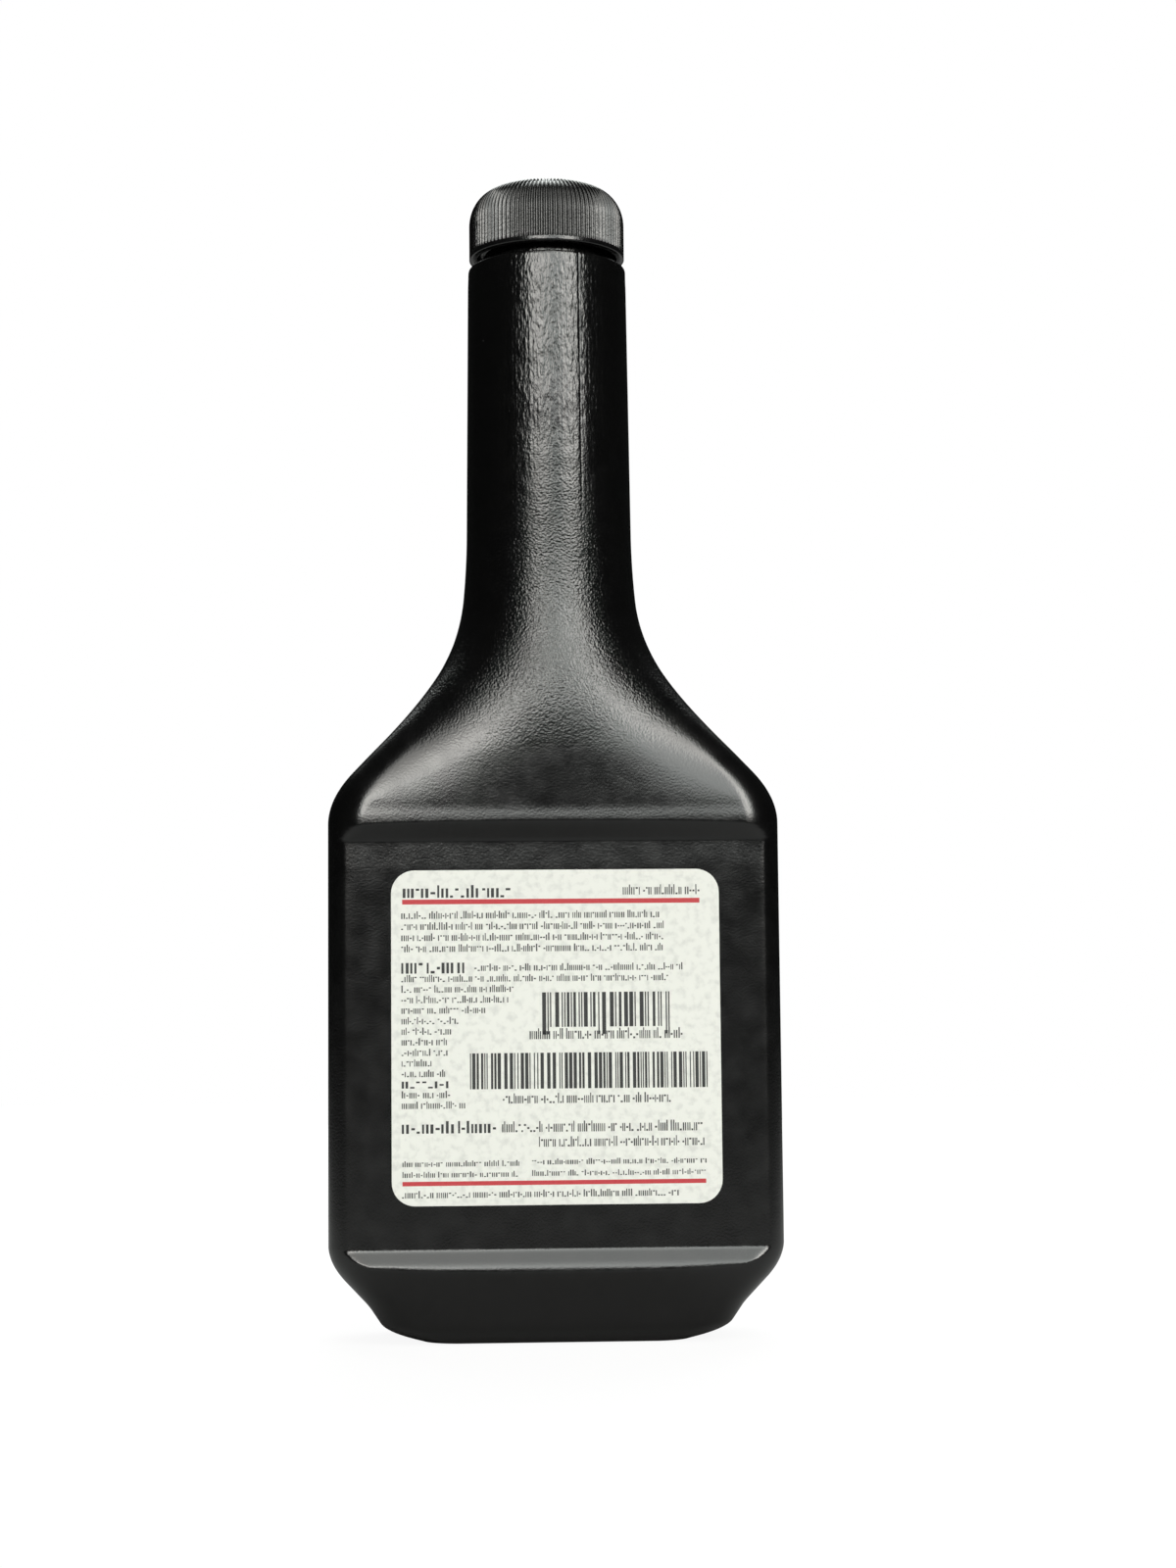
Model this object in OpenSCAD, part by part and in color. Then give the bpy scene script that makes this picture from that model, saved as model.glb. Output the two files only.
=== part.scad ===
// Long-necked oblong bottle for a lubricating fluid, closed by a ribbed screw cap.
// It stands on z = 0 with its neck on the Z axis, and its back label faces -Y.

/* [Base] */
// Width of the flat that the bottle stands on
base_w = 45.4; // [40:0.2:56]
// Depth of the flat that the bottle stands on
base_d = 27; // [22:0.5:32]
// Height of the rounded heel above the ground
heel_h = 2.2; // [2:0.1:3]
// Width of the bottle at the top of the heel
heel_w = 63.2; // [58:0.2:66]
// Depth of the bottle at the top of the heel
heel_d = 36; // [33:0.2:36]
// Height of the steep foot above the heel
foot_h = 4.8; // [4:0.1:6]
// Width of the bottle at the top of the foot
foot_w = 70.8; // [67:0.2:74]
// Height of the slanted flank above the foot
flank_h = 8.1; // [6:0.1:10]
// How far the middle of the base is pushed up
pushup_h = 0.9; // [0.5:0.1:2]
// Width of the standing rim around the pushed-up middle
rim_w = 4.5; // [3:0.5:6]

/* [Body] */
// Width of the body
body_w = 86; // [80:0.2:96]
// Depth of the body
body_d = 40; // [38:0.2:46]
// Radius of the body's upright corners
corner_r = 7.5; // [5:0.5:10]
// Thickness of the blown wall
wall = 1.1; // [0.7:0.1:1.4]

/* [Label panel] */
// Height of the full-depth band below the panel
band_h = 14.3; // [12:0.1:18]
// Height of each slanted step between the panel and the full depth
step_h = 3.2; // [2:0.1:5]
// Depth of the recess that keeps the label from rubbing
recess = 1.7; // [0.6:0.1:2.4]

/* [Shoulder] */
// Height of the full-depth brow above the upper step
brow_h = 1.2; // [1:0.1:3]
// Height of the small ledge above the brow
ledge_h = 3; // [2.5:0.1:5]
// How far the ledge sets the shoulder's face back
ledge_in = 0.2; // [0.1:0.1:1.2]
// Height of the shoulder's corner above the upper step
shoulder_h = 5.2; // [3:0.1:8]
// Height of the slanted shoulder above its corner
slope_h = 18; // [12:0.5:24]
// Width where the shoulder starts to flare into the neck
flare_w = 51.4; // [48:0.2:58]
// Height of the flare
flare_h = 14.5; // [13:0.5:24]
// Width at the top of the flare
flare_top_w = 35.1; // [34:0.1:38]

/* [Neck] */
// Height of the neck's foot, which eases into the straight neck
neck_foot_h = 14.8; // [14:0.1:24]
// Diameter at the top of the neck's foot
neck_foot_d = 32.4; // [31:0.1:34]
// Height of the straight neck
neck_h = 59.3; // [30:0.1:90]
// Diameter at the top of the neck
neck_d = 31.2; // [30:0.1:33]
// Radius of the neck's rounded top edge
neck_edge_r = 1.2; // [0.5:0.1:2]
// Thickness of the ring that closes the neck around the mouth
neck_lid_t = 1.6; // [1.2:0.1:3]

/* [Mouth] */
// Outer diameter of the threaded mouth
mouth_d = 24.7; // [23:0.1:25.2]
// Diameter of the hole that the fluid pours through
bore_d = 21.5; // [15:0.1:22]
// Height of the mouth above the neck
mouth_h = 10.5; // [8:0.1:18]

/* [Cap] */
// Diameter over the ribs
cap_d = 30.8; // [30.2:0.1:34]
// Height of the cap
cap_h = 13.9; // [12:0.1:15.5]
// Thickness of the cap's top
cap_top_t = 4; // [3.4:0.1:6]
// Clearance between the mouth and the cap's inner wall, which the thread fills
thread_gap = 1.4; // [1:0.1:1.5]
// How far the rounded top edge comes in
crown_in = 6; // [2:0.1:7]
// How far the rounded top edge comes down
crown_down = 7; // [3:0.1:8]
// Number of grip ribs
ribs = 100; // [40:1:110]
// Depth of the grooves between the ribs
rib_depth = 0.4; // [0.2:0.05:0.45]
// Height of the plain band at the cap's rim
rim_band_h = 0.9; // [0.5:0.1:2]

/* [Liner and seal] */
// Thickness of the liner in the cap
liner_t = 1; // [0.5:0.1:1.5]
// Clearance between the liner's edge and the cap's inner wall
liner_gap = 0.3; // [0.1:0.1:1]
// Thickness of the foil seal on the mouth
foil_t = 0.2; // [0.1:0.05:0.4]
// How far the foil's edge stays inside the mouth's edge
foil_in = 0.2; // [0:0.1:1]
// Clearance between the foil and the closed cap's liner
seal_gap = 0.05; // [0.02:0.01:0.3]

/* [Labels] */
// Width of each label
label_w = 61.9; // [40:0.1:70]
// Height of each label
label_h = 62.7; // [40:0.1:90]
// Height of each label's lower edge above the panel's lower edge
label_up = 8.3; // [1:0.1:12]
// Clear panel above each label
label_down = 5.8; // [1:0.1:12]
// Radius of each label's corners
label_r = 4.4; // [1:0.1:8]
// Thickness of each label
label_t = 0.12; // [0.08:0.01:0.3]

/* [Fluid] */
// Height of the air space between the fluid and the ring around the mouth
headspace = 44.5; // [10:0.5:80]
// Clearance between the fluid and the bottle's wall
fluid_gap = 0.3; // [0.1:0.1:0.6]

/* [Hidden] */

black_plastic = [0.035, 0.035, 0.038];
cap_plastic = [0.06, 0.06, 0.062];
liner_board = [0.85, 0.83, 0.78];
foil_metal = [0.78, 0.79, 0.8];
label_paper = [0.93, 0.93, 0.9];
amber_fluid = [0.75, 0.55, 0.25];

// Heights of the bottle's features above the ground, from the base up
foot_z = heel_h + foot_h;
flank_z = foot_z + flank_h;
panel_z = band_h + step_h;
// The flat panel is as tall as the label and the clear panel below and above it
panel_h = label_up + label_h + label_down;
panel_top_z = panel_z + panel_h;
brow_z = panel_top_z + step_h;
ledge_z = brow_z + brow_h;
ledge_top_z = ledge_z + ledge_h;
shoulder_z = brow_z + shoulder_h;
flare_z = shoulder_z + slope_h;
flare_top_z = flare_z + flare_h;
neck_foot_z = flare_top_z + neck_foot_h;
neck_z = neck_foot_z + neck_h;
lip_z = neck_z + mouth_h;
floor_z = pushup_h + wall;
fluid_z = neck_z - neck_lid_t - headspace;

// Half the height over which each bend of the outline is softened
heel_soft = 1.6;
foot_soft = 0.8;
flank_soft = 3.5;
edge_soft = 0.5;
ledge_soft = 1;
shoulder_soft = 2.5;
slope_soft = 8;
neck_soft = 6;

// Height above the brow over which the corners widen until the face is one low arch
arch_h = 22;
// The corners then deepen until the section is round: from this high above the shoulder's corner
round_from_h = 7.2;
// up to this high above the flare
round_to_h = 5;
// Points along each rounded corner of a section
arc_n = 12;
inner_arc_n = 8;
// Largest height between two rings: on tight bends, on wide ones and inside the wall
tight_step = 0.9;
wide_step = 2.2;
inner_step = 3.4;
// Least straight run that a section keeps between two corners
sliver = 0.02;
// Rings on the neck's rounded top edge
edge_n = 4;
// Points around the parts that are turned
round_n = 96;
// Room left under a cut so that it passes right through
through = 1;

// Half-width of the bottle against height: [height, half-width, softening]
side = [
    [0, base_w / 2, 0],
    [heel_h, heel_w / 2, heel_soft],
    [foot_z, foot_w / 2, foot_soft],
    [flank_z, body_w / 2, flank_soft],
    [shoulder_z, body_w / 2, 2 * shoulder_soft],
    [flare_z, flare_w / 2, slope_soft],
    [flare_top_z, flare_top_w / 2, slope_soft],
    [neck_foot_z, neck_foot_d / 2, neck_soft],
    [neck_z, neck_d / 2, 0]
];

// Half-depth of the bottle against height, without the label panels
face = [
    [0, base_d / 2, 0],
    [heel_h, heel_d / 2, heel_soft],
    [flank_z, body_d / 2, flank_soft],
    [ledge_z, body_d / 2, ledge_soft],
    [ledge_top_z, body_d / 2 - ledge_in, ledge_soft],
    [flare_z, body_d / 2 - ledge_in, shoulder_soft],
    [flare_top_z, flare_top_w / 2, neck_soft],
    [neck_foot_z, neck_foot_d / 2, neck_soft],
    [neck_z, neck_d / 2, 0]
];

// Depth of the label panel's recess against height
cut = [
    [0, 0, 0],
    [band_h, 0, edge_soft],
    [panel_z, recess, edge_soft],
    [panel_top_z, recess, edge_soft],
    [brow_z, 0, edge_soft],
    [neck_z, 0, 0]
];

// A bend spread over h on each side: zero before it, t after it, a parabola between
function bend(t, h) = t <= -h ? 0 : (t >= h ? t : pow(t + h, 2) / (4 * h));

function slope(p, i) = (p[i + 1][1] - p[i][1]) / (p[i + 1][0] - p[i][0]);

// The value of a profile p at height z: a straight start plus one soft bend at each inner point
function along(p, z, i = 1) =
    i > len(p) - 2
        ? p[0][1] + slope(p, 0) * (z - p[0][0])
        : along(p, z, i + 1) + (slope(p, i) - slope(p, i - 1)) * bend(z - p[i][0], p[i][2]);

function smooth(t) = let (u = min(max(t, 0), 1)) u * u * (3 - 2 * u);

// How far the rounded top edge of the neck has come in at height z
function edge_in(z) =
    let (t = max(z - (neck_z - neck_edge_r), 0))
    neck_edge_r - sqrt(max(pow(neck_edge_r, 2) - t * t, 0));

// Half-axis of the section's corners at height z, inset from the outside. It grows from corner_r
// to the section's half-size between the heights low and high, but leaves a sliver of a side.
function corner_size(half, low, high, z, inset) =
    let (grown = smooth((z - low) / (high - low)))
    min(corner_r + (half + inset - corner_r) * grown - inset, half - sliver / 2);

// The section at height z, inset from the outside, with n steps along each corner. The corners
// are ellipses, and the face is cut flat where the label panel is recessed.
function section(z, inset, n) =
    let (
        a = along(side, z) - edge_in(z) - inset,
        b = along(face, z) - edge_in(z) - inset,
        flat = b - along(cut, z),
        rx = corner_size(a, ledge_z, ledge_z + arch_h, z, inset),
        ry = corner_size(b, shoulder_z + round_from_h, flare_top_z + round_to_h, z, inset)
    )
    [for (q = [0:3], i = [0:n])
        let (
            t = 90 * (q + i / n),
            sx = q == 0 || q == 3 ? 1 : -1,
            sy = q < 2 ? 1 : -1,
            y = sy * (b - ry) + ry * sin(t)
        )
        [sx * (a - rx) + rx * cos(t), min(max(y, -flat), flat), z]
    ];

// Heights from a to b, without b, no more than s apart
function steps(a, b, s) = let (n = ceil((b - a) / s)) [for (i = [0:n - 1]) a + (b - a) * i / n];

// Heights at which the soft bend at z starts, turns and ends
function around(z) = [z - edge_soft, z, z + edge_soft];

outer_heights = concat(
    steps(0, foot_z, tight_step),
    steps(foot_z, band_h - edge_soft, wide_step),
    around(band_h), around(panel_z),
    around(panel_top_z), around(brow_z),
    steps(ledge_z, ledge_top_z, tight_step),
    steps(ledge_top_z, flare_z, wide_step),
    steps(flare_z, neck_foot_z, wide_step),
    [neck_foot_z, neck_foot_z + neck_soft],
    [for (t = [0:90 / edge_n:90]) neck_z - neck_edge_r * (1 - sin(t))]
);

// Heights for a solid inside the wall, from low to high
function inner_heights(low, high) = [
    low,
    each [
        for (z = concat(
            steps(heel_h + wall, band_h - edge_soft, inner_step),
            [band_h, panel_z, panel_top_z, brow_z, ledge_top_z],
            steps(ledge_top_z + edge_soft, flare_z, inner_step),
            steps(flare_z, neck_foot_z, inner_step),
            [neck_foot_z, neck_z]
        ))
            if (z > low + edge_soft && z < high - edge_soft) z
    ],
    high
];

// A closed solid through a stack of rings that all have as many points
module loft(rings) {
    n = len(rings[0]);
    last = (len(rings) - 1) * n;
    polyhedron(
        points = [for (ring = rings) each ring],
        faces = concat(
            [[for (i = [0:n - 1]) i]],
            [[for (i = [n - 1:-1:0]) last + i]],
            [for (k = [0:len(rings) - 2], i = [0:n - 1])
                let (j = (i + 1) % n)
                each [
                    [k * n + i, (k + 1) * n + i, k * n + j],
                    [k * n + j, (k + 1) * n + i, (k + 1) * n + j]
                ]
            ]
        ),
        convexity = 6
    );
}

module outer_form() {
    loft([for (z = outer_heights) section(z, 0, arc_n)]);
}

module inner_form(inset, low, high) {
    loft([for (z = inner_heights(low, high)) section(z, inset, inner_arc_n)]);
}

// The shallow push-up under the base
module pushup() {
    hull() {
        translate([0, 0, -through])
            linear_extrude(height = through)
                rounded_rectangle(base_w - 2 * rim_w, base_d - 2 * rim_w, corner_r / 2);
        linear_extrude(height = pushup_h)
            rounded_rectangle(base_w - 4 * rim_w, base_d - 4 * rim_w, corner_r / 4);
    }
}

module rounded_rectangle(w, d, r) {
    polygon([for (q = [0:3], i = [0:inner_arc_n])
        let (t = 90 * (q + i / inner_arc_n))
        [
            (q == 0 || q == 3 ? 1 : -1) * (w / 2 - r) + r * cos(t),
            (q < 2 ? 1 : -1) * (d / 2 - r) + r * sin(t)
        ]
    ]);
}

module bottle() {
    mouth_foot_z = neck_z - neck_lid_t / 2;
    color(black_plastic)
        difference() {
            union() {
                outer_form();
                translate([0, 0, mouth_foot_z])
                    cylinder(d = mouth_d, h = lip_z - mouth_foot_z, $fn = round_n);
            }
            inner_form(wall, floor_z, neck_z - neck_lid_t);
            translate([0, 0, neck_z - neck_lid_t - through])
                cylinder(d = bore_d, h = mouth_h + neck_lid_t + 2 * through, $fn = round_n);
            pushup();
        }
}

// Height of the closed cap's rim, which the liner on the foil sets
cap_z = lip_z + foil_t + seal_gap + liner_t + cap_top_t - cap_h;
cap_inner_d = mouth_d + 2 * thread_gap;
crown_n = 6;

// The cap's outer profile above its rim band, as [height, radius, groove depth].
// The ribs run up the wall and over the rounded edge, and fade out on top.
cap_rings = concat(
    [
        [0, cap_d / 2, 0],
        [rim_band_h, cap_d / 2, 0],
        [rim_band_h + rib_depth / 2, cap_d / 2, rib_depth]
    ],
    [for (i = [0:crown_n])
        let (t = 90 * i / crown_n)
        [
            cap_h - crown_down + crown_down * sin(t),
            cap_d / 2 - crown_in + crown_in * cos(t),
            rib_depth * (i == crown_n ? 0 : 1)
        ]
    ]
);

module ribbed_form() {
    loft([for (ring = cap_rings)
        [for (i = [0:2 * ribs - 1])
            let (
                t = 180 * i / ribs,
                r = ring[1] - (i % 2 == 0 ? 0 : ring[2])
            )
            [r * cos(t), r * sin(t), ring[0]]
        ]
    ]);
}

module cap() {
    color(cap_plastic)
        translate([0, 0, cap_z])
            difference() {
                ribbed_form();
                translate([0, 0, -through])
                    cylinder(d = cap_inner_d, h = through + cap_h - cap_top_t, $fn = round_n);
            }
}

module cap_liner() {
    color(liner_board)
        translate([0, 0, lip_z + foil_t + seal_gap])
            cylinder(d = cap_inner_d - 2 * liner_gap, h = liner_t, $fn = round_n);
}

module foil_seal() {
    color(foil_metal)
        translate([0, 0, lip_z])
            cylinder(d = mouth_d - 2 * foil_in, h = foil_t, $fn = round_n);
}

// A label that lies on the panel at y = body_d / 2 - recess and faces +Y
module label() {
    color(label_paper)
        translate([0, body_d / 2 - recess, panel_z + label_up + label_h / 2])
            rotate([-90, 0, 0])
                linear_extrude(height = label_t)
                    rounded_rectangle(label_w, label_h, label_r);
}

module back_label() {
    rotate([0, 0, 180])
        label();
}

module front_label() {
    label();
}

module lubricant_fill() {
    color(amber_fluid)
        inner_form(wall + fluid_gap, floor_z + fluid_gap, fluid_z);
}

bottle();
cap();
cap_liner();
foil_seal();
back_label();
front_label();
lubricant_fill();
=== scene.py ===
import bpy
import numpy as np
from mathutils import Matrix, Vector


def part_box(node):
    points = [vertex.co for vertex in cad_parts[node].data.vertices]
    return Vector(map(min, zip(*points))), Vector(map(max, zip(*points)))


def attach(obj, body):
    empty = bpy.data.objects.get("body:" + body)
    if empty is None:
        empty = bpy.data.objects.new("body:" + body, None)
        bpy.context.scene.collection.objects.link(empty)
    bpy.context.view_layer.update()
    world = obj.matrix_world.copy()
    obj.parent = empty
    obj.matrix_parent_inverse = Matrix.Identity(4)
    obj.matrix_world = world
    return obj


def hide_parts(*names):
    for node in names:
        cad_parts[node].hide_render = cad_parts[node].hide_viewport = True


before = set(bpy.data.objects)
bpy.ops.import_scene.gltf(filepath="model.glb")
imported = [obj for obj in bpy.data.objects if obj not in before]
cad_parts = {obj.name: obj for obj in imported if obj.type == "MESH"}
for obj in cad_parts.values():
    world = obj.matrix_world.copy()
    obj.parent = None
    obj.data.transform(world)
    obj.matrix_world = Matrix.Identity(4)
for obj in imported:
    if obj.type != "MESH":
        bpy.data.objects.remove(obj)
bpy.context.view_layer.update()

# The bottle. One shell of black high-density polyethylene, blown in a mould of two halves that
# part on its narrow sides. Its sections turn from a rectangle into a circle on the way up to the
# neck, and each face is cut back to a flat panel for a label. The threaded mouth is part of it.
MM = 0.001
bottle_low, bottle_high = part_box("bottle")
body_a = bottle_high.x / MM
body_b = bottle_high.y / MM
lip_z = bottle_high.z / MM
wall = 1.1
corner_r = 7.5

base_a, base_b, rim_w, pushup_h = 25.4, 13.5, 4.5, 0.9
heel_z, heel_a, heel_b = 2.2, 32.2, 18.0
foot_z, foot_a = 7.0, 35.4
flank_z = 15.1
band_z, step_h, recess = 14.3, 3.2, 1.7
panel_z = band_z + step_h
label_low, label_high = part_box("back_label")
panel_top_z = label_high.z / MM + 5.8
brow_z = panel_top_z + step_h
ledge_z, ledge_top_z, ledge_in = brow_z + 1.2, brow_z + 4.2, 0.16
# The faces step in from slope_z to slope_top_z, and the corners start to widen at ledge_z
slope_z, slope_top_z = ledge_z - 0.8, ledge_top_z - 1.4
shoulder_z = brow_z + 5.2
flare_z, flare_a = shoulder_z + 18, 25.7
flare_top_z, flare_top_a = flare_z + 14.5, 17.55
neck_foot_z, neck_foot_a = flare_top_z + 14.8, 16.2
arch_h, round_low_z, round_high_z = 22, shoulder_z + 7.2, flare_top_z + 5
mouth_h = 10.5
neck_z, neck_a, neck_edge_r, neck_lid_t = lip_z - mouth_h, 15.6, 0.8, 1.6
mouth_a, bore_a = 12.35, 10.75
step_soft, edge_soft, lean_soft = 1.3, 0.55, 0.5

# Each outline is a list of [height, half-size, softening of the bend there]
side = [
    [0, base_a, 0], [heel_z, heel_a, 1.6], [foot_z, foot_a, 0.8], [flank_z, body_a, 3.5],
    [shoulder_z, body_a, 5], [flare_z, flare_a, 8], [flare_top_z, flare_top_a, 8],
    [neck_foot_z, neck_foot_a, 6], [neck_z, neck_a, 0],
]
face = [
    [0, base_b, 0], [heel_z, heel_b, 1.6], [flank_z, body_b, 3.5], [slope_z, body_b, 1],
    [slope_top_z, body_b - ledge_in, 0.8], [shoulder_z + 11, body_b - 0.02, 5],
    [flare_z + 2.8, body_b - 0.3, 6], [flare_top_z, flare_top_a, 6], [neck_foot_z - 7, 16.4, 8],
    [neck_z, neck_a, 0],
]
# How deep the panel is cut back. Above the label it leans back a little.
lean_z, lean = label_high.z / MM + 0.6, 0.13
cut = [
    [0, 0, 0], [band_z, 0, step_soft], [panel_z, recess, edge_soft], [lean_z, recess, lean_soft],
    [panel_top_z, recess + lean, edge_soft], [brow_z, 0, edge_soft], [neck_z, 0, 0],
]


def along(profile, z):
    """The profile's value at each height z: a straight start, plus at each inner point a change
    of slope that a parabola spreads over the point's softening on both sides."""
    p = np.array(profile, float)
    slopes = np.diff(p[:, 1]) / np.diff(p[:, 0])
    value = p[0, 1] + slopes[0] * (z - p[0, 0])
    for (height, _, soft), turn in zip(p[1:-1], np.diff(slopes)):
        t, h = z - height, max(soft, 1e-9)
        value = value + turn * np.where(t <= -h, 0, np.where(t >= h, t, (t + h) ** 2 / (4 * h)))
    return value


def ease(t):
    """A smooth step from 0 to 1 while t goes from 0 to 1."""
    u = np.clip(t, 0, 1)
    return u * u * (3 - 2 * u)


def spaced(*stops):
    """Values from the first stop on: each further stop is (value, number of steps to it)."""
    parts, start = [], stops[0]
    for end, count in stops[1:]:
        parts.append(np.linspace(start, end, count, endpoint=False))
        start = end
    return np.concatenate(parts + [[start]])


# Columns around a section. Near the middle of each side the angle hardly turns while the point
# runs along the straight, so that the same columns draw a rounded rectangle and a circle.
side_run = np.array([0, 0.03, 0.2, 0.4, 0.6, 0.8, 1.0])
side_turn = np.radians([0, 0.7, 1.4, 2.1, 2.8, 3.4, 4.0])
corner_n = 36
corner = np.linspace(side_turn[-1], np.pi / 2 - side_turn[-1], corner_n + 1)
quarter_angle = np.concatenate([side_turn, corner[1:-1], np.pi / 2 - side_turn[::-1]])
quarter_up = np.concatenate([side_run, np.ones(corner_n - 1 + len(side_run))])
quarter_across = quarter_up[::-1]
angle = np.concatenate([quarter_angle[:-1] + q * np.pi / 2 for q in range(4)])
across = np.concatenate(
    [quarter_across[:-1], -quarter_up[:-1], -quarter_across[:-1], quarter_up[:-1]])
up = np.concatenate(
    [quarter_up[:-1], quarter_across[:-1], -quarter_up[:-1], -quarter_across[:-1]])
clamp_soft = 0.3


def sections(z, a, b, rx, ry, flat, crown=0.0, arched=0.0):
    """One ring for each height z: a rectangle of half-size a by b, whose corners are ellipses of
    half-axes rx by ry. A face is a straight line between two corners for arched 0, one half
    ellipse for 1, and a weighted mean in between. It falls off by up to crown towards its ends,
    and a soft minimum clamps it to flat, so that the edge of a panel is rounded."""
    rx, ry = np.minimum(rx, a), np.minimum(ry, b)
    z, a, b, rx, ry, flat, crown, arched = (
        np.broadcast_to(v, z.shape)[:, None] for v in (z, a, b, rx, ry, flat, crown, arched))
    x = (a - rx) * across + rx * np.cos(angle)
    square_r = np.where(arched < 0.999, (rx - a * arched) / np.maximum(1 - arched, 0.001), a)
    square = np.sqrt(1 - np.clip((np.abs(x) - (a - square_r)) / square_r, 0, 1) ** 2)
    arch = np.sqrt(1 - np.clip(np.abs(x) / a, 0, 1) ** 2)
    bulge = np.sign(np.sin(angle)) * ((1 - arched) * square + arched * arch)
    y = ((b - ry) * up + ry * bulge) * (1 - crown / b * (x / a) ** 4)
    k = clamp_soft * (b - flat)
    depth = np.abs(y)
    clamped = (depth + flat) / 2 - np.sqrt(((depth - flat) / 2) ** 2 + (k / 2) ** 2)
    y = np.where(k > 1e-6, np.sign(y) * np.maximum(clamped, 0), y)
    return np.stack([x, y, np.broadcast_to(z, x.shape)], -1)


def form(z, inset=0.0):
    """The bottle's own sections at heights z, inset from the outside."""
    edge = np.maximum(z - (neck_z - neck_edge_r), 0)
    edge_in = neck_edge_r - np.sqrt(np.maximum(neck_edge_r ** 2 - edge ** 2, 0))
    a = along(side, z) - edge_in - inset
    b = along(face, z) - edge_in - inset
    widened = ease((z - ledge_z) / arch_h)
    deepened = ease((z - round_low_z) / (round_high_z - round_low_z))
    rx = corner_r + (a + inset - corner_r) * widened - inset
    ry = corner_r + (b + inset - corner_r) * deepened - inset
    crown = 0.6 * ease(z / flank_z) * (1 - widened)
    return sections(z, a, b, rx, ry, b - along(cut, z), crown, widened)


def discs(z, radius):
    """Round rings of the given radii at heights z."""
    z, radius = np.broadcast_arrays(np.asarray(z, float), np.asarray(radius, float))
    return sections(z, radius, radius, radius, radius, radius)


def base_rings(inset, z):
    """Rings of the base, inset from its edge, at heights z."""
    shrink = np.minimum(inset, base_b - 1.5)
    a, b = base_a - shrink, base_b - shrink
    r = np.maximum(corner_r - shrink, 1.4)
    return sections(z, a, b, r, r, b)


def skin(name, rings):
    """A closed mesh through a stack of rings, given in millimetres: quads join neighbouring rings,
    and a polygon closes each end of the stack."""
    count, around = rings.shape[:2]
    ring, column = np.meshgrid(np.arange(count - 1), np.arange(around), indexing="ij")
    after = (column + 1) % around
    quads = np.stack(
        [ring * around + column, ring * around + after,
         (ring + 1) * around + after, (ring + 1) * around + column], -1).reshape(-1, 4)
    faces = quads.tolist()
    faces.append(list(range(around - 1, -1, -1)))
    faces.append([(count - 1) * around + i for i in range(around)])
    mesh = bpy.data.meshes.new(name)
    mesh.from_pydata((rings.reshape(-1, 3) * MM).tolist(), [], faces)
    mesh.shade_smooth()
    mesh.update()
    piece = bpy.data.objects.new(name, mesh)
    bpy.context.scene.collection.objects.link(piece)
    return piece


thread_pitch, thread_turns, thread_fade = 25.4 / 6, 2.0, 0.12
thread_start_z, thread_h = neck_z + 1.35, 1.15


def thread(z, start_z, height):
    """How far a screw thread stands out at each height z and column: a rounded ridge along the
    helix that starts at start_z and climbs one pitch a turn, and fades out at both ends."""
    turned = (z[:, None] - start_z) / thread_pitch - angle / (2 * np.pi)
    turn = np.round(turned)
    off = np.abs(turned - turn) * thread_pitch
    length = turn + angle / (2 * np.pi)
    fade = ease(length / thread_fade) * ease((thread_turns - length) / thread_fade)
    crest_half, flank = 0.35, 0.75
    return height * ease((crest_half + flank - off) / flank) * fade


# From the middle of the base out, up the outside and over the shoulder to the neck's top edge
base_inset = spaced(12, (9, 3), (4.5, 4), (3.9, 2), (0, 5))
base_lift = pushup_h * ease((base_inset - rim_w) / rim_w)
outside_z = spaced(
    0, (foot_z, 22), (band_z - step_soft, 15), (band_z + step_soft, 14), (panel_z - edge_soft, 2),
    (panel_z + edge_soft, 8), (lean_z - lean_soft, 12), (lean_z + lean_soft, 3),
    (panel_top_z - edge_soft, 5), (panel_top_z + edge_soft, 8), (brow_z - edge_soft, 3),
    (brow_z + edge_soft, 8), (ledge_top_z + 1, 14), (flare_z, 30), (flare_top_z, 26),
    (neck_foot_z, 18), (neck_foot_z + 6, 6), (neck_z - neck_edge_r, 18))
edge_turn = np.radians(spaced(10, (90, 8)))
edge_z = neck_z - neck_edge_r * (1 - np.sin(edge_turn))
lid_turn, lid_fillet_r, lid_flat_a = np.radians(spaced(0, (90, 5))), 0.6, [13.9, 13.3]
lid_z = np.concatenate([[neck_z, neck_z], neck_z + lid_fillet_r * (1 - np.cos(lid_turn))])
lid_a = np.concatenate([lid_flat_a, mouth_a + lid_fillet_r * (1 - np.sin(lid_turn))])
thread_z = spaced(neck_z + 0.8, (lip_z - 0.6, 40))
lip_turn = np.radians(spaced(0, (90, 5)))
lip_round = 0.45
lip_out_z = lip_z - lip_round * (1 - np.sin(lip_turn))
lip_out_a = mouth_a - lip_round * (1 - np.cos(lip_turn))

screw = discs(thread_z, mouth_a)
stands = thread(thread_z, thread_start_z, thread_h)
screw[..., 0] += stands * np.cos(angle)
screw[..., 1] += stands * np.sin(angle)

outer_rings = [
    base_rings(base_inset, base_lift), form(outside_z[1:]), form(edge_z), discs(lid_z, lid_a),
    screw, discs(lip_out_z, lip_out_a),
]
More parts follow.
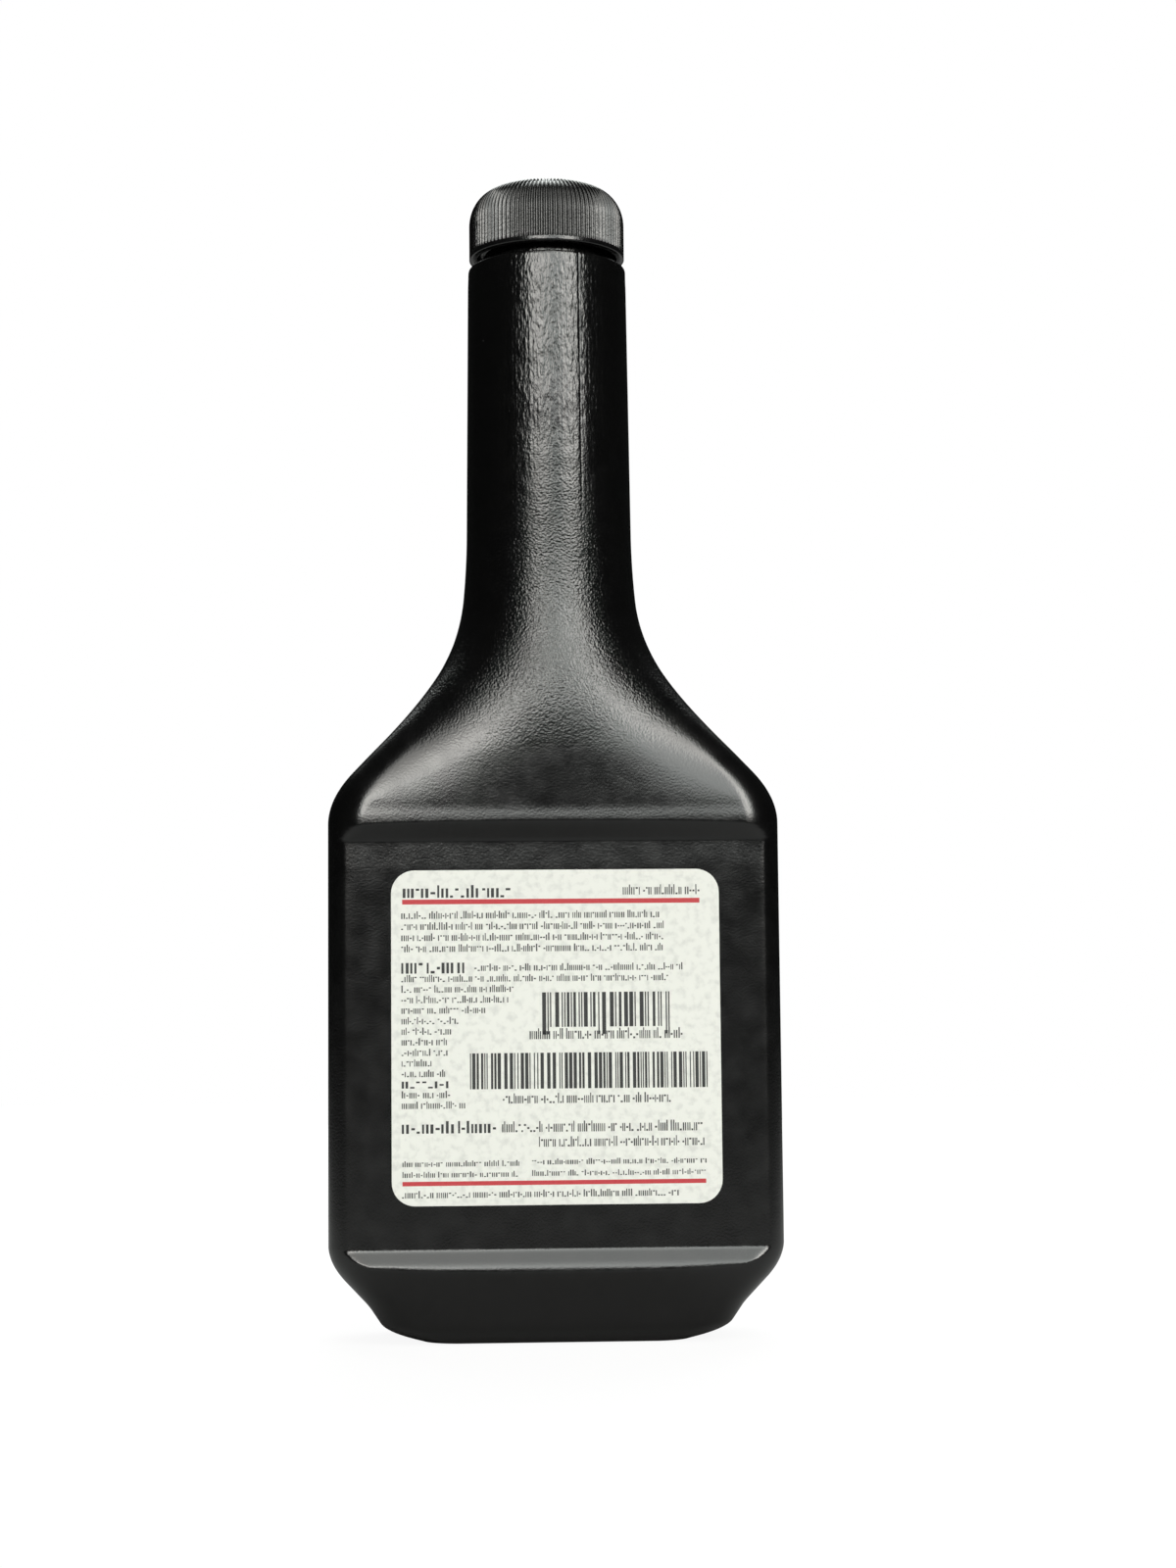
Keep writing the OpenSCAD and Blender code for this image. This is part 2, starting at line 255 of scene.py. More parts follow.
# Then down the bore and back along the inside of the wall
inside_z = spaced(
    neck_z - neck_lid_t, (neck_foot_z, 10), (flare_z, 16), (ledge_top_z, 12), (brow_z, 3),
    (panel_top_z, 4), (panel_z, 6), (band_z, 4), (heel_z + wall, 8), (pushup_h + wall, 3))
lip_back = lip_turn[::-1]
inner_rings = [
    discs(lip_z - lip_round * (1 - np.sin(lip_back)), bore_a + lip_round * (1 - np.cos(lip_back))),
    discs([neck_z + 1, neck_z - neck_lid_t], bore_a),
    form(inside_z, wall),
]

# The parting line runs up both narrow sides as a fine ridge, and along the base as the pinch-off,
# where the push-up is lower
seam_h, pinch_share = 0.07, 0.6
outer = np.concatenate(outer_rings)
parting = np.abs(np.sin(angle)) < 1e-6
on_form = np.arange(len(outer)) < len(base_inset) + len(outside_z) + len(edge_z) - 2
below = np.arange(len(outer)) < len(base_inset) - 8
seam = np.outer(on_form & ~below & (outer[:, 0, 2] > 1.5) & (outer[:, 0, 2] < neck_z - 1), parting)
outer[..., 0] += np.where(seam, seam_h * np.sign(outer[..., 0]), 0)
outer[..., 0] = np.clip(outer[..., 0], -body_a, body_a)
pinch = np.outer(below, parting)
outer[..., 2] *= np.where(pinch, pinch_share, 1)
bottle = skin("blown_bottle", np.concatenate([outer] + inner_rings))


def material(name, rough, ior=1.5, metallic=0.0):
    """A node material with its shader, and a helper that adds and links a node."""
    made = bpy.data.materials.new(name)
    made.use_nodes = True
    tree = made.node_tree
    shader = tree.nodes["Principled BSDF"]
    shader.inputs["Roughness"].default_value = rough
    shader.inputs["IOR"].default_value = ior
    shader.inputs["Metallic"].default_value = metallic

    def add(kind, inputs=(), **settings):
        node = tree.nodes.new(kind)
        for key, value in settings.items():
            setattr(node, key, value)
        for key, value in dict(inputs).items():
            if isinstance(value, bpy.types.NodeSocket):
                tree.links.new(value, node.inputs[key])
            else:
                node.inputs[key].default_value = value
        return node

    return made, tree, shader, add


def grain(add, scale, detail=2.0, stretch=(1, 1, 1), vector=None):
    """Noise on Object coordinates, stretched along the axes; scale is in features a metre."""
    place = vector or add("ShaderNodeTexCoord").outputs["Object"]
    turned = add("ShaderNodeMapping", {"Vector": place, "Scale": stretch})
    return add("ShaderNodeTexNoise",
               {"Vector": turned.outputs[0], "Scale": scale, "Detail": detail})


def ramp(add, value, low, high, to_low=0.0, to_high=1.0):
    """value from low to high becomes to_low to to_high, and stays within them."""
    return add("ShaderNodeMapRange", {"Value": value, "From Min": low, "From Max": high,
                                      "To Min": to_low, "To Max": to_high}).outputs[0]


def black_plastic():
    """Satin black polyethylene: a fine pebbled skin that is drawn out along the neck, streaks and
    one die line there from the blow moulding, an uneven gloss and a few specks of dust."""
    made, tree, shader, add = material("bottle_plastic", 0.2, 1.75)
    place = add("ShaderNodeTexCoord").outputs["Object"]
    split = add("ShaderNodeSeparateXYZ", {"Vector": place}).outputs

    def sums(value, factor, rest=0.0):
        summed = add("ShaderNodeMath", {0: value, 1: factor, 2: rest}, operation="MULTIPLY_ADD")
        return summed.outputs[0]

    on_neck = ramp(add, split["Z"], 0.15, 0.18)
    pebble = grain(add, 2400, 1.5).outputs["Fac"]
    wrinkle = grain(add, 1600, 2.0, (1, 1, 0.35)).outputs["Fac"]
    height = add("ShaderNodeMix", {"Factor": on_neck, "A": pebble, "B": wrinkle}).outputs[0]
    height = sums(grain(add, 120, 1.0).outputs["Fac"], 1.2, height)
    streak = grain(add, 700, 2.0, (1, 1, 0.02)).outputs["Fac"]
    height = sums(streak, sums(on_neck, 0.9, 0.1), height)
    # The die line is a groove at 21.3 degrees from the face, as a distance in millimetres around
    toward = add("ShaderNodeMath", {0: split["X"], 1: sums(split["Y"], -1.0)}, operation="ARCTAN2")
    off = add("ShaderNodeMath", {0: sums(toward.outputs[0], 15.8, -5.87)}, operation="ABSOLUTE")
    height = sums(ramp(add, off.outputs[0], 0.05, 0.32, -0.6, 0.0), on_neck, height)
    # The flat body is blown harder against the mould, so its skin is smoother than the neck's
    depth = ramp(add, split["Z"], 0.11, 0.125, 0.000022, 0.00013)
    bump = add("ShaderNodeBump", {"Height": height, "Strength": 1.0, "Distance": depth})
    gloss = grain(add, 260, 3.0)
    rough = ramp(add, gloss.outputs["Fac"], 0.3, 0.7, 0.17, 0.24)
    tree.links.new(rough, shader.inputs["Roughness"])
    tree.links.new(bump.outputs[0], shader.inputs["Normal"])
    cell = add("ShaderNodeTexVoronoi", {"Vector": place, "Scale": 150.0})
    speck = ramp(add, cell.outputs["Distance"], 0.03, 0.012)
    tint = add("ShaderNodeMix", {"Factor": speck}, data_type="RGBA")
    tint.inputs[6].default_value = (0.0025, 0.0025, 0.0026, 1)
    tint.inputs[7].default_value = (0.1, 0.1, 0.1, 1)
    tree.links.new(tint.outputs[2], shader.inputs["Base Color"])
    return made


bottle.data.materials.append(black_plastic())
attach(bottle, "bottle_body")
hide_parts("bottle")

# The fluid. A clear amber mineral oil that fills the bottle up into the neck. Nothing of it shows
# through the black wall, so the solid keeps its plain form.


def amber_fluid():
    """Clear amber with faint darker clouds."""
    made, tree, shader, add = material("lubricant", 0.05, 1.47)
    shader.inputs["Transmission Weight"].default_value = 0.7
    clouds = grain(add, 60, 2.0)
    tint = add("ShaderNodeMix", {"Factor": clouds.outputs["Fac"]}, data_type="RGBA")
    tint.inputs[6].default_value = (0.78, 0.5, 0.16, 1)
    tint.inputs[7].default_value = (0.66, 0.4, 0.11, 1)
    tree.links.new(tint.outputs[2], shader.inputs["Base Color"])
    return made


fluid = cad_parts["lubricant_fill"]
fluid.data.materials.clear()
fluid.data.materials.append(amber_fluid())

# The foil seal. A disc of thin aluminium foil that was welded onto the lip by heat. It is drawn
# down a little over the bore, with fine creases from the sealing head.
foil_low, foil_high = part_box("foil_seal")
foil_a = foil_high.x / MM
foil_z, foil_top = foil_low.z / MM, foil_high.z / MM
foil_edge_r, crease_h, drawn_down = 0.05, 0.05, 0.1
face_r = spaced(0.4, (bore_a, 22), (foil_a - foil_edge_r, 6))
foil_r = np.concatenate([face_r, [foil_a, foil_a, foil_a - foil_edge_r]])
foil_h = np.concatenate(
    [np.full(len(face_r), foil_top), [foil_top - foil_edge_r, foil_z + foil_edge_r, foil_z]])
foil_rings = discs(foil_h, foil_r)
over_bore = ease((bore_a - face_r) / 1.2)[:, None]
# Seven low waves around, which turn a little on their way out
crease = crease_h * np.sin(7 * angle + 0.5 * face_r[:, None]) * np.sin(0.9 * face_r[:, None])
foil_rings[:len(face_r), :, 2] += over_bore * (crease - drawn_down)
foil = skin("pressed_foil", foil_rings)
foil.data.flip_normals()


def bright_foil():
    """Rolled aluminium foil, with fine rolling lines and small dents."""
    made, tree, shader, add = material("seal_foil", 0.25, 1.5, 1.0)
    lines = grain(add, 900, 3.0, (1, 0.05, 1))
    dents = grain(add, 350, 2.0)
    height = add("ShaderNodeMath", {0: lines.outputs["Fac"], 1: 0.3, 2: dents.outputs["Fac"]},
                 operation="MULTIPLY_ADD")
    bump = add("ShaderNodeBump", {"Height": height.outputs[0], "Strength": 0.5, "Distance": 0.0001})
    tree.links.new(bump.outputs[0], shader.inputs["Normal"])
    tree.links.new(ramp(add, dents.outputs["Fac"], 0.3, 0.7, 0.2, 0.38), shader.inputs["Roughness"])
    shader.inputs["Base Color"].default_value = (0.8, 0.81, 0.82, 1)
    return made


foil.data.materials.append(bright_foil())
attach(foil, "bottle_body")
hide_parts("foil_seal")

# The liner. A disc stamped from pulp board that sits loose in the top of the cap and is pressed
# onto the mouth, which has left a faint ring in it.
liner_low, liner_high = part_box("cap_liner")
liner_a = liner_high.x / MM
liner_z, liner_top = liner_low.z / MM, liner_high.z / MM
liner_edge_r, press_h = 0.12, 0.05
press_r = spaced(0.4, (bore_a - 0.6, 4), (mouth_a + 0.4, 12), (liner_a - liner_edge_r, 3))
press = press_h * ease(1 - np.abs(press_r - (bore_a + mouth_a) / 2) / 1.1)
back_r = spaced(liner_a - 0.6, (0.4, 3))
liner_r = np.concatenate([press_r, [liner_a, liner_a, liner_a - liner_edge_r], back_r])
liner_h = np.concatenate(
    [liner_z + press, [liner_z + liner_edge_r, liner_top - liner_edge_r, liner_top],
     np.full(len(back_r), liner_top)])
liner = skin("pulp_liner", discs(liner_h, liner_r))


def pulp_board():
    """Pale grey-white pulp board with short fibres and darker flecks."""
    made, tree, shader, add = material("liner_board", 0.85)
    fibre = grain(add, 900, 4.0, (1, 0.25, 1))
    fleck = grain(add, 2500, 1.0)
    flecked = ramp(add, fleck.outputs["Fac"], 0.6, 0.75)
    tint = add("ShaderNodeMix", {"Factor": flecked}, data_type="RGBA")
    tint.inputs[6].default_value = (0.78, 0.75, 0.68, 1)
    tint.inputs[7].default_value = (0.5, 0.46, 0.38, 1)
    bump = add("ShaderNodeBump",
               {"Height": fibre.outputs["Fac"], "Strength": 0.4, "Distance": 0.0001})
    tree.links.new(tint.outputs[2], shader.inputs["Base Color"])
    tree.links.new(bump.outputs[0], shader.inputs["Normal"])
    return made


liner.data.materials.append(pulp_board())
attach(liner, "liner_body")
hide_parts("cap_liner")

# The cap. One injection moulding of black polypropylene, with fine grip ribs that run over its
# rounded top edge, a plain band at the rim and a screw thread inside.
cap_low, cap_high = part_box("cap")
cap_a = cap_high.x / MM
cap_z, cap_top = cap_low.z / MM, cap_high.z / MM
cap_inner_a, cap_thread_h = mouth_a + 1.4, 0.95
crown_in, crown_down = 6.0, 7.0
inner_top = liner_top
rib_count, rib_depth, rib_columns = 100, 0.5, 8
rim_band, rim_edge_r, bore_chamfer = 0.9, 0.15, 0.4
# The cap's rings have columns of their own: plain circles, with some columns to each rib
angle = np.linspace(0, 2 * np.pi, rib_count * rib_columns, endpoint=False)
across = up = np.ones_like(angle)

wall_z = spaced(
    cap_z + rim_edge_r, (cap_z + rim_band - 0.15, 3), (cap_z + rim_band + 0.25, 5),
    (cap_top - crown_down, 8))
crown_turn = np.radians(spaced(4, (78, 17), (90, 6)))
crown_z = cap_top - crown_down * (1 - np.sin(crown_turn))
crown_a = cap_a - crown_in * (1 - np.cos(crown_turn))
top_a = spaced(cap_a - crown_in - 0.4, (1.4, 5), (1.1, 1), (0.5, 2))
# The mark of the moulding's gate is a small dimple in the middle of the top
gate_a, gate_depth = 2.2, 0.25
gate_z = cap_top - gate_depth * ease((gate_a - top_a) / 0.8)
cap_out_z = np.concatenate([[cap_z], wall_z, crown_z, gate_z])
cap_out_a = np.concatenate([[cap_a - rim_edge_r], np.full(len(wall_z), cap_a), crown_a, top_a])
ribbed = ease((cap_out_z - cap_z - rim_band) / 0.3)
ribbed[-len(top_a):] = 0
ribbed[len(wall_z) + 1:-len(top_a)] *= ease((np.pi / 2 - crown_turn) / 0.2)
groove = (0.5 - 0.5 * np.cos(rib_count * angle)) ** 0.7
outside = discs(cap_out_z, cap_out_a)
# The grooves are cut along the surface's own normal, so that they keep their depth on the crown
crown_lean = np.arctan2(crown_in * np.sin(crown_turn), crown_down * np.cos(crown_turn))
lean = np.concatenate([np.zeros(len(wall_z) + 1), crown_lean, np.full(len(top_a), np.pi / 2)])
lean = lean[:, None]
sink = rib_depth * ribbed[:, None] * groove
outside[..., :2] *= (1 - sink * np.cos(lean) / cap_out_a[:, None])[..., None]
outside[..., 2] -= sink * np.sin(lean)

# The cap's thread stands half a pitch above the mouth's, in its grooves
bore_z = spaced(inner_top, (cap_z + bore_chamfer, 38), (cap_z, 2))
bore_r = cap_inner_a + 0.3 * ease((cap_z + bore_chamfer - bore_z) / bore_chamfer)
inside = discs(bore_z, bore_r)
stands = thread(bore_z, thread_start_z + thread_pitch / 2, cap_thread_h)
inside[..., 0] -= stands * np.cos(angle)
inside[..., 1] -= stands * np.sin(angle)
roof = discs(np.full(5, inner_top), spaced(0.5, (cap_inner_a - 0.3, 4)))
cap_rings = np.concatenate([roof, inside, outside])
cap = skin("ribbed_cap", cap_rings)


def cap_plastic():
    """Satin black polypropylene, with random patches that are a little rougher and greyer."""
    made, tree, shader, add = material("cap_plastic", 0.22, 1.75)
    pebble = grain(add, 2200, 2.0)
    bump = add("ShaderNodeBump",
               {"Height": pebble.outputs["Fac"], "Strength": 0.6, "Distance": 0.00006})
    tree.links.new(bump.outputs[0], shader.inputs["Normal"])
    gloss = grain(add, 400, 3.0)
    rough = ramp(add, gloss.outputs["Fac"], 0.3, 0.7, 0.16, 0.24)
    tree.links.new(rough, shader.inputs["Roughness"])
    tint = add("ShaderNodeMix", {"Factor": gloss.outputs["Fac"]}, data_type="RGBA")
    tint.inputs[6].default_value = (0.003, 0.003, 0.0032, 1)
    tint.inputs[7].default_value = (0.007, 0.007, 0.007, 1)
    tree.links.new(tint.outputs[2], shader.inputs["Base Color"])
    return made


cap.data.materials.append(cap_plastic())
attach(cap, "cap_body")
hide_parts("cap")

# The back label. A sheet of coated off-white paper with rounded corners, glued to the recessed
# panel. Its print is kept as plain fields: red rules, grey lines for words and two bar patterns.
label_a = label_high.x / MM
label_z, label_top = label_low.z / MM, label_high.z / MM
label_r, sheet_soft = 4.4, 0.03
panel_y = label_high.y / MM
label_y = label_low.y / MM


def sheet_rings(y_back, y_front, a, low, high, r):
    """The outline of a rounded sheet at its back edge, along its thickness and just inside its
    front edge, as rings around the sheet's middle."""
    n = 10
    turn = np.concatenate([np.linspace(0, np.pi / 2, n) + q * np.pi / 2 for q in range(4)])
    sx = np.repeat([1, -1, -1, 1], n)
    sz = np.repeat([1, 1, -1, -1], n)
    soft_y = y_front + np.sign(y_back - y_front) * sheet_soft
    rings = []
    for y, inset in ((y_back, 0), (soft_y, 0), (y_front, sheet_soft)):
        x = sx * (a - r) + (r - inset) * np.cos(turn)
        z = (low + high) / 2 + sz * ((high - low) / 2 - r) + (r - inset) * np.sin(turn)
        rings.append(np.stack([x, np.full_like(x, y), z], -1))
    return np.array(rings)


def label_paper():
    """Coated off-white paper: a soft grey mottle, fine fibres and a low sheen."""
    made, tree, shader, add = material("label_paper", 0.55)
    mottle = grain(add, 650, 5.0)
    fibre = grain(add, 3000, 2.0)
    mottled = ramp(add, mottle.outputs["Fac"], 0.48, 0.68)
    tint = add("ShaderNodeMix", {"Factor": mottled}, data_type="RGBA")
    tint.inputs[6].default_value = (0.9, 0.91, 0.86, 1)
    tint.inputs[7].default_value = (0.77, 0.78, 0.74, 1)
    bump = add("ShaderNodeBump",
               {"Height": fibre.outputs["Fac"], "Strength": 0.2, "Distance": 0.00004})
    tree.links.new(tint.outputs[2], shader.inputs["Base Color"])
    tree.links.new(bump.outputs[0], shader.inputs["Normal"])
    return made


paper = label_paper()
back_sheet = skin(
    "back_paper", sheet_rings(panel_y, label_y, label_a, label_z, label_top, label_r))
back_sheet.data.shade_flat()
back_sheet.data.materials.append(paper)
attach(back_sheet, "bottle_body")
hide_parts("back_label")


def ink(name, colour, worn):
    """Printing ink that sinks a little unevenly into the paper."""
    made, tree, shader, add = material(name, 0.5)
    spread = grain(add, 1800, 3.0)
    tint = add("ShaderNodeMix", {"Factor": spread.outputs["Fac"]}, data_type="RGBA")
    tint.inputs[6].default_value = (*colour, 1)
    tint.inputs[7].default_value = (*worn, 1)
    tree.links.new(tint.outputs[2], shader.inputs["Base Color"])
    return made


black_ink = ink("black_ink", (0.02, 0.02, 0.022), (0.05, 0.05, 0.05))
grey_ink = ink("grey_ink", (0.03, 0.03, 0.03), (0.09, 0.09, 0.09))
red_ink = ink("red_ink", (0.56, 0.03, 0.04), (0.62, 0.07, 0.08))
ink_t, ink_sunk = 0.012, 0.03


def words(x0, x1, z, height, rng, bold=1.0):
    """A line of print from x0 to x1 around the height z, as words of small upright strokes and
    dashes of uneven width. Nothing in it is a letter."""
    bars, x = [], x0
    while x < x1 - 0.5 * bold:
        for _ in range(rng.integers(4, 17)):
            width = bold * rng.uniform(0.17, 0.27)
            low, high = z - height / 2, z + height / 2
            kind = rng.random()
            if kind < 0.14:
                high += 0.35 * height
            elif kind < 0.45:
                width *= 1.6
                low = (low, high - 0.24 * height, z - 0.12 * height)[rng.integers(3)]
                high = low + 0.24 * height
            if x + width > x1:
                break
            bars.append((x, x + width, low, high))
            x += width + bold * rng.uniform(0.13, 0.22)
        x += 0.42
    return bars


def bar_pattern(x0, x1, low, high, count, seed, tall=()):
    """A row of upright bars and gaps, count in all and each one to three units wide, chosen by a
    seeded draw. The bars named in tall reach lower."""
    rng = np.random.default_rng(seed)
    widths = rng.choice([1, 1, 2, 3], count).astype(float)
    edges = x0 + np.concatenate([[0], np.cumsum(widths)]) * (x1 - x0) / widths.sum()
    starts, ends = edges[0::2], edges[1::2]
    drop = np.where(np.isin(np.arange(len(starts)), tall), 1.4, 0.0)
    return [(s, e, low - d, high) for s, e, d in zip(starts, ends, drop)]


def print_bars(name, bars, y_front, printed, facing):
    """Flat bars of ink on the paper, each a thin closed block from just inside the sheet to a
    hair above it. bars is a list of (x0, x1, z0, z1), and facing is -1 or 1 along Y."""
    b = np.array(bars, float)
    x = b[:, [0, 1, 1, 0, 0, 1, 1, 0]]
    z = b[:, [2, 2, 3, 3, 2, 2, 3, 3]]
    back, front = y_front - facing * ink_sunk, y_front + facing * ink_t
    y = np.broadcast_to(np.array([back] * 4 + [front] * 4), x.shape)
    points = np.stack([x, y, z], -1).reshape(-1, 3) * MM
    block = np.array(
        [[0, 1, 2, 3], [7, 6, 5, 4], [0, 4, 5, 1], [1, 5, 6, 2], [2, 6, 7, 3], [3, 7, 4, 0]])
    if facing < 0:
        block = block[:, ::-1]
    faces = (np.arange(len(b))[:, None, None] * 8 + block).reshape(-1, 4)
    mesh = bpy.data.meshes.new(name)
    mesh.from_pydata(points.tolist(), [], faces.tolist())
    mesh.update()
    piece = bpy.data.objects.new(name, mesh)
    bpy.context.scene.collection.objects.link(piece)
    piece.data.materials.append(printed)
    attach(piece, "bottle_body")
    return piece


rng = np.random.default_rng(7)
# Lines of print as (start, end, depth below the sheet's top edge, height), from its left edge
bold_rows = [
    (2.2, 22.5, 4.3, 1.75), (1.9, 14.5, 18.4, 2.0), (1.9, 11, 40.2, 1.3), (1.9, 19.5, 48.4, 1.7)]
text_rows = [
    (43.7, 58.4, 4.1, 1.4), (15.6, 55.2, 18.5, 1.0), (20.6, 58.8, 48.4, 1.5),
    (27.5, 58.8, 51.2, 1.4), (2, 23.8, 55, 0.8), (2, 23.8, 57, 0.8), (26.2, 59.1, 54.8, 0.8),
    (26.2, 59.1, 56.9, 0.8), (1.9, 53.8, 60.7, 1.0), (25.9, 54.9, 31.1, 1.5),
    (20.8, 52.5, 43.1, 1.4)]
text_rows += [(1.9, 51.5, 8.6 + 2.08 * row, 1.05) for row in range(4)]
column_ends = [52.4, 23.2, 22.5, 18.6, 12.6, 11.7, 10.4, 10.6, 8.2, 10.8, 0, 11.2, 14.1]
text_rows += [(1.9, end, 20.5 + 1.97 * row, 1.0) for row, end in enumerate(column_ends)]
heading, text = [], []
for start, end, below, height in bold_rows:
    heading += words(start - label_a, end - label_a, label_top - below, height, rng, 2.1)
for start, end, below, height in text_rows:
    text += words(start - label_a, end - label_a, label_top - below, height, rng)
long_bars = (0, 1, 14, 15, 28, 29)
patterns = bar_pattern(
    28.3 - label_a, 52.3 - label_a, label_top - 29.6, label_top - 23.1, 59, 3, long_bars)
patterns += bar_pattern(
    14.7 - label_a, 59.3 - label_a, label_top - 41.1, label_top - 34.4, 121, 11)
rules = [
    (2.1 - label_a, 58.2 - label_a, label_top - 6.4, label_top - 5.5),
    (2 - label_a, 58.8 - label_a, label_top - 58.95, label_top - 58.15)]
print_bars("back_headings", heading, label_y, black_ink, -1)
print_bars("back_text", text, label_y, grey_ink, -1)
print_bars("back_bar_patterns", patterns, label_y, black_ink, -1)
print_bars("back_rules", rules, label_y, red_ink, -1)

# The front label. The same paper on the other face, which the photo doesn't show. Its design is
# plain: a charcoal field, a red band and a few lines for words.
front_low, front_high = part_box("front_label")
front_y = front_high.y / MM
front_sheet = skin(
    "front_paper", sheet_rings(front_low.y / MM, front_y, label_a, label_z, label_top, label_r))
front_sheet.data.flip_normals()
front_sheet.data.shade_flat()
front_sheet.data.materials.append(paper)
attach(front_sheet, "bottle_body")
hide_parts("front_label")

field = [(-label_a + 3.2, label_a - 3.2, label_z + 30, label_top - 4)]
band = [(-label_a + 3.2, label_a - 3.2, label_z + 24.5, label_z + 28.6)]
lines = []
for row in range(5):
    lines += words(-20, 20, label_z + 19.5 - 2.6 * row, 1.0, rng)
print_bars("front_field", field, front_y, black_ink, 1)
print_bars("front_band", band, front_y, red_ink, 1)
print_bars("front_text", lines, front_y, grey_ink, 1)

# The floor. A plain pale table that the camera sees as white, with the bottle's soft shadow.
floor_half = 3.0
floor_mesh = bpy.data.meshes.new("floor")
floor_mesh.from_pydata(
    [(-floor_half, -floor_half, 0), (floor_half, -floor_half, 0), (floor_half, floor_half, 0),
     (-floor_half, floor_half, 0)], [], [(0, 1, 2, 3)])
floor = bpy.data.objects.new("floor", floor_mesh)
bpy.context.scene.collection.objects.link(floor)


def pale_floor():
    """Pale matt paper. To the camera it is mostly plain white, so that only a soft shadow shows."""
    made, tree, shader, add = material("pale_floor", 0.9)
    seen = add("ShaderNodeLightPath").outputs["Is Camera Ray"]
    tint = add("ShaderNodeMix", {"Factor": seen}, data_type="RGBA")
    # To other rays it darkens away from the bottle, so that the panels mirror little of it
    place = add("ShaderNodeTexCoord").outputs["Object"]
    away = add("ShaderNodeVectorMath", {0: place}, operation="LENGTH")
    grey = ramp(add, away.outputs["Value"], 0.15, 1.2, 0.24, 0.06)
    far_tint = add("ShaderNodeCombineColor", {0: grey, 1: grey, 2: grey})
    tree.links.new(far_tint.outputs[0], tint.inputs[6])
    tint.inputs[7].default_value = (1, 1, 1, 1)
    matt = add("ShaderNodeBsdfDiffuse", {"Color": tint.outputs[2]})
    glow = add("ShaderNodeEmission", {"Color": (1, 1, 1, 1), "Strength": 1.0})
    share = add("ShaderNodeMath", {0: seen, 1: 0.92}, operation="MULTIPLY")
    both = add("ShaderNodeMixShader", {0: share.outputs[0], 1: matt.outputs[0], 2: glow.outputs[0]})
    tree.links.new(both.outputs[0], tree.nodes["Material Output"].inputs["Surface"])
    tree.nodes.remove(shader)
    return made


floor.data.materials.append(pale_floor())

# The light. Two tall soft boxes side by side in front, a dimmer glow from one to the other and a
# box high behind, drawn into the world by the direction that a ray leaves in. The camera sees the
# world as white.
world = bpy.data.worlds.new("studio")
bpy.context.scene.world = world
world.use_nodes = True
world_tree = world.node_tree
world_tree.nodes.clear()


def node(kind, inputs=(), **settings):
    """Adds a world node, sets its settings and links or sets its inputs."""
    made = world_tree.nodes.new(kind)
    for key, value in settings.items():
        setattr(made, key, value)
    for key, value in dict(inputs).items():
        if isinstance(value, bpy.types.NodeSocket):
            world_tree.links.new(value, made.inputs[key])
        else:
            made.inputs[key].default_value = value
    return made.outputs[0]


def calc(operation, a, b=0.0):
    return node("ShaderNodeMath", {0: a, 1: b}, operation=operation)


def rise(value, low, high, top=1.0):
    """0 below low, top above high, in degrees, with a smooth change between."""
    low, high = np.radians([low, high]).tolist()
    return node("ShaderNodeMapRange",
                {"Value": value, "From Min": low, "From Max": high, "To Min": 0.0, "To Max": top},
                interpolation_type="SMOOTHSTEP")


split = world_tree.nodes.new("ShaderNodeSeparateXYZ")
direction = world_tree.nodes.new("ShaderNodeTexCoord").outputs["Generated"]
world_tree.links.new(direction, split.inputs[0])
elevation = calc("ARCSINE", split.outputs["Z"])
forward = calc("MULTIPLY", split.outputs["Y"], -1.0)
azimuth = calc("ARCTAN2", split.outputs["X"], forward)
behind = calc("ARCTAN2", calc("ABSOLUTE", split.outputs["X"]), split.outputs["Y"])


def window(value, low, low_soft, high, high_soft, top=1.0):
    """A soft-edged window: 0 outside low to high degrees, top inside."""
    return calc("MULTIPLY", rise(value, low, low + low_soft, top),
                calc("SUBTRACT", 1.0, rise(value, high - high_soft, high)))


front_level, back_level, ambient_level = 6.5, 5.0, 0.01
middle = window(azimuth, -34, 14, 52, 16, 0.5)
left_box = window(azimuth, -31, 12, 4, 14, 0.8)
right_box = window(azimuth, 16, 12, 46, 12, 0.8)
lobes = calc("ADD", left_box, right_box)
raised = calc("ADD", calc("MULTIPLY", middle, rise(elevation, 10, 17)),
              calc("ADD", calc("MULTIPLY", left_box, window(elevation, 10, 7, 32, 14)),
                   calc("MULTIPLY", right_box, rise(elevation, 8, 14.5))))
fading = calc("MULTIPLY", calc("SUBTRACT", 1.0, rise(elevation, 18, 50, 0.4)),
              calc("SUBTRACT", 1.0, rise(elevation, 60, 90, 0.5)))
front = calc("MULTIPLY", calc("MULTIPLY", raised, fading), front_level)
back = calc("MULTIPLY", calc("SUBTRACT", 1.0, rise(behind, 18, 42)), rise(elevation, 30, 45))
level = calc("ADD", calc("ADD", front, calc("MULTIPLY", back, back_level)), ambient_level)
path = world_tree.nodes.new("ShaderNodeLightPath")
strength = node("ShaderNodeMix", {"Factor": path.outputs["Is Camera Ray"], "A": level, "B": 1.0})


def blend(factor, low, high):
    """Between two colours, which may be plain values or another node's colour."""
    made = world_tree.nodes.new("ShaderNodeMix")
    made.data_type = "RGBA"
    for socket, value in zip((made.inputs[0], made.inputs[6], made.inputs[7]), (factor, low, high)):
        if isinstance(value, bpy.types.NodeSocket):
            world_tree.links.new(value, socket)
        else:
            socket.default_value = value
    return made.outputs[2]


